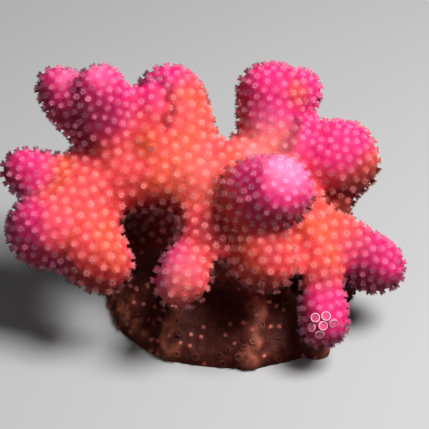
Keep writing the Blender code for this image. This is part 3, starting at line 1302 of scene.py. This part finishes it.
# %% [markdown]
# ## The skin's finish
# Between the polyps the skeleton is covered with fine spines that show through the tissue,
# which a small bump gives. The tissue is soft: light wanders a little way inside it before it
# comes out again, and red light goes furthest. That is what subsurface scattering is for. It
# hardly shines, so its specular level is low.

# %% Make the skin's material
GLOW_REACH = (1.0, 0.2, 0.15)  # red light goes furthest, then green, then blue
GLOW_SCALE = 0.8 * MM          # how far the red goes
SHINE = 0.12
SKIN_ROUGHNESS = 0.55
SKIN_GLOW = 0.4
MOUND_RANGE = (0.1, 1.0)       # mound values between which the skin turns paler
MOUND_PALENESS = 0.14
BETWEEN_RANGE = (0.0, 0.5)
BETWEEN_DEPTH = 0.3            # how much deeper the colour is between the mounds
SPINE_SCALE = 3200             # one wave is about 0.3 mm
SPINE_HEIGHT = 0.12 * MM


def value_of(tree, name):
    """The attribute of that name, as a number."""
    node = tree.nodes.new("ShaderNodeAttribute")
    node.attribute_name = name
    return node.outputs["Fac"]


def use_group(tree, group, **values):
    node = tree.nodes.new("ShaderNodeGroup")
    node.node_tree = group
    for title, value in values.items():
        feed(tree, node.inputs[title], value)
    return node.outputs[0]


def new_material(name, roughness, glow=0.0):
    material = bpy.data.materials.new(name)
    material.use_nodes = True
    tree = material.node_tree
    shader = tree.nodes["Principled BSDF"]
    shader.inputs["Roughness"].default_value = roughness
    shader.inputs["Specular IOR Level"].default_value = SHINE
    shader.inputs["Subsurface Weight"].default_value = glow
    shader.inputs["Subsurface Radius"].default_value = GLOW_REACH
    shader.inputs["Subsurface Scale"].default_value = GLOW_SCALE
    return material, tree, shader.inputs


def add_bump(tree, height, distance):
    node = tree.nodes.new("ShaderNodeBump")
    node.inputs["Strength"].default_value = 1.0
    node.inputs["Distance"].default_value = distance
    tree.links.new(height, node.inputs["Height"])
    return node.outputs["Normal"]


def skin_material():
    material, tree, shader = new_material("living_skin", SKIN_ROUGHNESS, SKIN_GLOW)
    mound_value = value_of(tree, "mound")
    on_mounds = ramp(tree, mound_value, *MOUND_RANGE, 0.0, MOUND_PALENESS)
    between = ramp(tree, mound_value, *BETWEEN_RANGE, BETWEEN_DEPTH, 0.0)
    colour = use_group(
        tree, tissue_group,
        Pink=value_of(tree, "pink"),
        Brown=value_of(tree, "brown"),
        Pale=math_node(tree, "ADD", on_mounds, value_of(tree, "pale_with_painted_light")),
        Deep=math_node(tree, "ADD", between, value_of(tree, "deep_with_painted_shade")),
        Relief=value_of(tree, "relief"),
    )
    tree.links.new(colour, shader["Base Color"])
    spines = add_bump(tree, noise_node(tree, SPINE_SCALE), SPINE_HEIGHT)
    tree.links.new(spines, shader["Normal"])
    return material


living_skin = skin_material()
print(len(living_skin.node_tree.nodes), "nodes in the skin's material")

# %% [markdown]
# ## The polyps' finish
# The shade value paints each polyp: where the lamp's light reaches it, it is a soft pale blob,
# and in the shade a paler ring round a dark mouth, which is painted light and painted shade.
# The crown value tells its parts apart: it is 0 at the mouth and 1 at the tentacles' ends.
# Those ends are clear and turn lavender, so they also fade out.

# %% Make the polyps' material
SMALL_ROUGHNESS = 0.6          # of polyps, cups and bare walls alike
POLYP_GLOW = 1.0
DISC_EDGE = 0.3                # a crown value just outside the rim of the disc
MOUTH_PALENESS = 0.12
EDGE_PALENESS = 0.34
END_PALENESS = 0.9             # the share of that paleness that is left at a tentacle's end
SHADE_PALENESS = 2.0           # how many times paler a polyp is painted in the shade than in the light: painted light
POLYP_BROWN_SHARE = 0.85       # of the brown of the skin under it
LAVENDER = (0.62, 0.36, 0.60, 1)
LAVENDER_FROM = 0.6
LAVENDER_SHARE = 0.3
CLEAR_FROM = 0.35
CLEAR_END = 0.25               # how much of a tentacle's end still shows


def polyp_paleness(tree, crown, shade_value):
    """Paler from the mouth to the edge of the disc, and a little less so to the ends."""
    disc = ramp(tree, crown, 0.0, DISC_EDGE, MOUTH_PALENESS, EDGE_PALENESS)
    tentacle = ramp(tree, crown, DISC_EDGE, 1.0, 1.0, END_PALENESS)
    strength = ramp(tree, shade_value, 0.0, 1.0, 1.0, SHADE_PALENESS)
    ring = math_node(tree, "MULTIPLY", math_node(tree, "MULTIPLY", disc, tentacle), strength)
    return math_node(tree, "ADD", ring, value_of(tree, "pale_with_painted_light"))


def polyp_material():
    material, tree, shader = new_material("polyps", SMALL_ROUGHNESS, POLYP_GLOW)
    crown = value_of(tree, "crown")
    shade_value = value_of(tree, "shade")
    # the mouth painted dark where the polyp lies in shade: painted shade
    inside = ramp(tree, crown, 0.0, DISC_EDGE, 1.0, 0.0)
    mouth = math_node(tree, "MULTIPLY", inside, shade_value)
    colour = use_group(
        tree, tissue_group,
        Pink=value_of(tree, "pink"),
        Brown=math_node(tree, "MULTIPLY", value_of(tree, "brown"), POLYP_BROWN_SHARE),
        Pale=polyp_paleness(tree, crown, shade_value),
        Deep=math_node(tree, "ADD", mouth, value_of(tree, "deep_with_painted_shade")),
        Relief=1.0,
    )
    lavender = ramp(tree, crown, LAVENDER_FROM, 1.0, 0.0, LAVENDER_SHARE)
    tree.links.new(mix_colour(tree, lavender, colour, LAVENDER), shader["Base Color"])
    tree.links.new(ramp(tree, crown, CLEAR_FROM, 1.0, 1.0, CLEAR_END), shader["Alpha"])
    return material


polyp_flesh = polyp_material()
print(len(polyp_flesh.node_tree.nodes), "nodes in the polyps' material")

# %% [markdown]
# ## Cups, bare walls and the cut
# The cups have the foot's own two browns, lighter on the ribs and darker in the hollows as
# painted light and shade, and a pit painted nearly black, which is painted shade. The bare
# walls are a pinkish white at the rim and have the tissue's colour at their foot.

# %% Make the materials of the cups and the bare walls
# nearly black: the painted shade of a pit deeper than the modelled one
PAINTED_PIT_SHADE = (0.02, 0.005, 0.004, 1)
PIT_END = 0.6                  # the crown value where a cup is as light as its rim
RIM_LIGHT = (0.08, 0.55)       # the light brown's share in the hollows and on the ribs: painted shade and light
BARE_WHITE = (0.93, 0.55, 0.60, 1)
BARE_GLOW = 0.2
BARE_PALENESS = 0.2
WHITE_FROM = 0.2
WHITE_SHARE = 0.85


def cup_material():
    material, tree, shader = new_material("cups", SMALL_ROUGHNESS)
    rim = ramp(tree, value_of(tree, "relief"), 0.0, 1.0, *RIM_LIGHT)
    rim_colour = mix_colour(tree, rim, BROWN, LIGHT_BROWN)
    out_of_pit = ramp(tree, value_of(tree, "crown"), CROWN_IN_PIT, PIT_END)
    tree.links.new(mix_colour(tree, out_of_pit, PAINTED_PIT_SHADE, rim_colour), shader["Base Color"])
    return material


def bare_wall_material():
    material, tree, shader = new_material("bare_walls", SMALL_ROUGHNESS, BARE_GLOW)
    tissue = use_group(
        tree, tissue_group,
        Pink=value_of(tree, "pink"),
        Brown=value_of(tree, "brown"),
        Pale=BARE_PALENESS,
        Deep=0.0,
        Relief=1.0,
    )
    white = ramp(tree, value_of(tree, "crown"), WHITE_FROM, 1.0, 0.0, WHITE_SHARE)
    tree.links.new(mix_colour(tree, white, tissue, BARE_WHITE), shader["Base Color"])
    return material


cup_flesh = cup_material()
bare_walls = bare_wall_material()
print("made", cup_flesh.name, "and", bare_walls.name)

# %% [markdown]
# The cut under the colony shows the sawn skeleton. No tissue covers it, so it is a mottled
# pale brown without any glow.

# %% Make the cut's material
SAWN_LIGHT = (0.62, 0.55, 0.46, 1)
SAWN_DARK = (0.36, 0.29, 0.22, 1)
SAWN_SCALE = 900               # one wave is about 1 mm
SAWN_ROUGHNESS = 0.8


def sawn_material():
    material, tree, shader = new_material("sawn_skeleton", SAWN_ROUGHNESS)
    colour = mix_colour(tree, noise_node(tree, SAWN_SCALE), SAWN_LIGHT, SAWN_DARK)
    tree.links.new(colour, shader["Base Color"])
    return material


sawn_skeleton = sawn_material()
print("made", sawn_skeleton.name)

# %% [markdown]
# Each piece gets its finish, and the foot's skin has a second one for the cut. Light goes
# through the thin polyps, so they are set to cast no shadow on the skin that they stand on.

# %% Give the pieces their finish
for piece in skins:
    piece.data.materials.append(living_skin)
    if piece.name == "foot_skin":
        piece.data.materials.append(sawn_skeleton)
for kind, finish in (("polyps", polyp_flesh), ("cups", cup_flesh), ("bare_cups", bare_walls)):
    for piece in small_pieces[kind]:
        piece.data.materials.append(finish)
        piece.visible_shadow = kind != "polyps"
print(len(bpy.data.materials), "materials")

# %% [markdown]
# ## Light and floor
# One soft lamp stands above and to the right, so the undersides stay dark. A wide and very
# weak one at the lower left keeps them from going black, and the sky gives next to nothing.
# The Standard view keeps the strong pinks as they are.

# %% Set the light
KEY_DISTANCE = 0.4
KEY_SIZE = 0.18
KEY_POWER = 2.7
FILL_PLACE = Vector((-0.18, -0.34, 0.16))
FILL_SIZE = 0.3
FILL_POWER = 0.23
AIM = Vector((0, 0, 0.02))
SKY_LIGHT = 0.04


def add_lamp(name, place, size, power):
    data = bpy.data.lights.new(name, "AREA")
    data.energy = power
    data.size = size
    lamp = bpy.data.objects.new(name, data)
    lamp.location = place
    lamp.rotation_euler = (AIM - place).to_track_quat("-Z", "Y").to_euler()
    bpy.context.scene.collection.objects.link(lamp)


def add_sky():
    world = bpy.data.worlds.new("sky")
    world.use_nodes = True
    background = world.node_tree.nodes["Background"]
    background.inputs["Strength"].default_value = SKY_LIGHT
    background.inputs["Color"].default_value = (1, 1, 1, 1)
    bpy.context.scene.world = world


add_lamp("key", AIM + KEY_DISTANCE * LIGHT_FROM, KEY_SIZE, KEY_POWER)
add_lamp("fill", FILL_PLACE, FILL_SIZE, FILL_POWER)
add_sky()
bpy.context.scene.view_settings.view_transform = "Standard"
print("lamps of", KEY_POWER, "and", FILL_POWER, "W")

# %% [markdown]
# The floor is plain and pale to the camera. To every other ray it is a darker grey, so that
# it throws little light back up at the dark foot.

# %% Lay the floor
FLOOR_SIZE = 1.2
FLOOR_COLOUR = (0.45, 0.45, 0.45, 1)
FLOOR_BOUNCE = (0.12, 0.12, 0.12, 1)
FLOOR_ROUGHNESS = 0.7


def add_floor():
    bm = bmesh.new()
    bmesh.ops.create_grid(bm, x_segments=1, y_segments=1, size=FLOOR_SIZE)
    floor = bpy.data.objects.new("floor", mesh_from(bm, "floor"))
    material, tree, shader = new_material("floor", FLOOR_ROUGHNESS)
    seen = tree.nodes.new("ShaderNodeLightPath").outputs["Is Camera Ray"]
    tree.links.new(mix_colour(tree, seen, FLOOR_BOUNCE, FLOOR_COLOUR), shader["Base Color"])
    floor.data.materials.append(material)
    bpy.context.scene.collection.objects.link(floor)
    return floor


floor = add_floor()
print("the floor is", 2 * FLOOR_SIZE, "m wide")
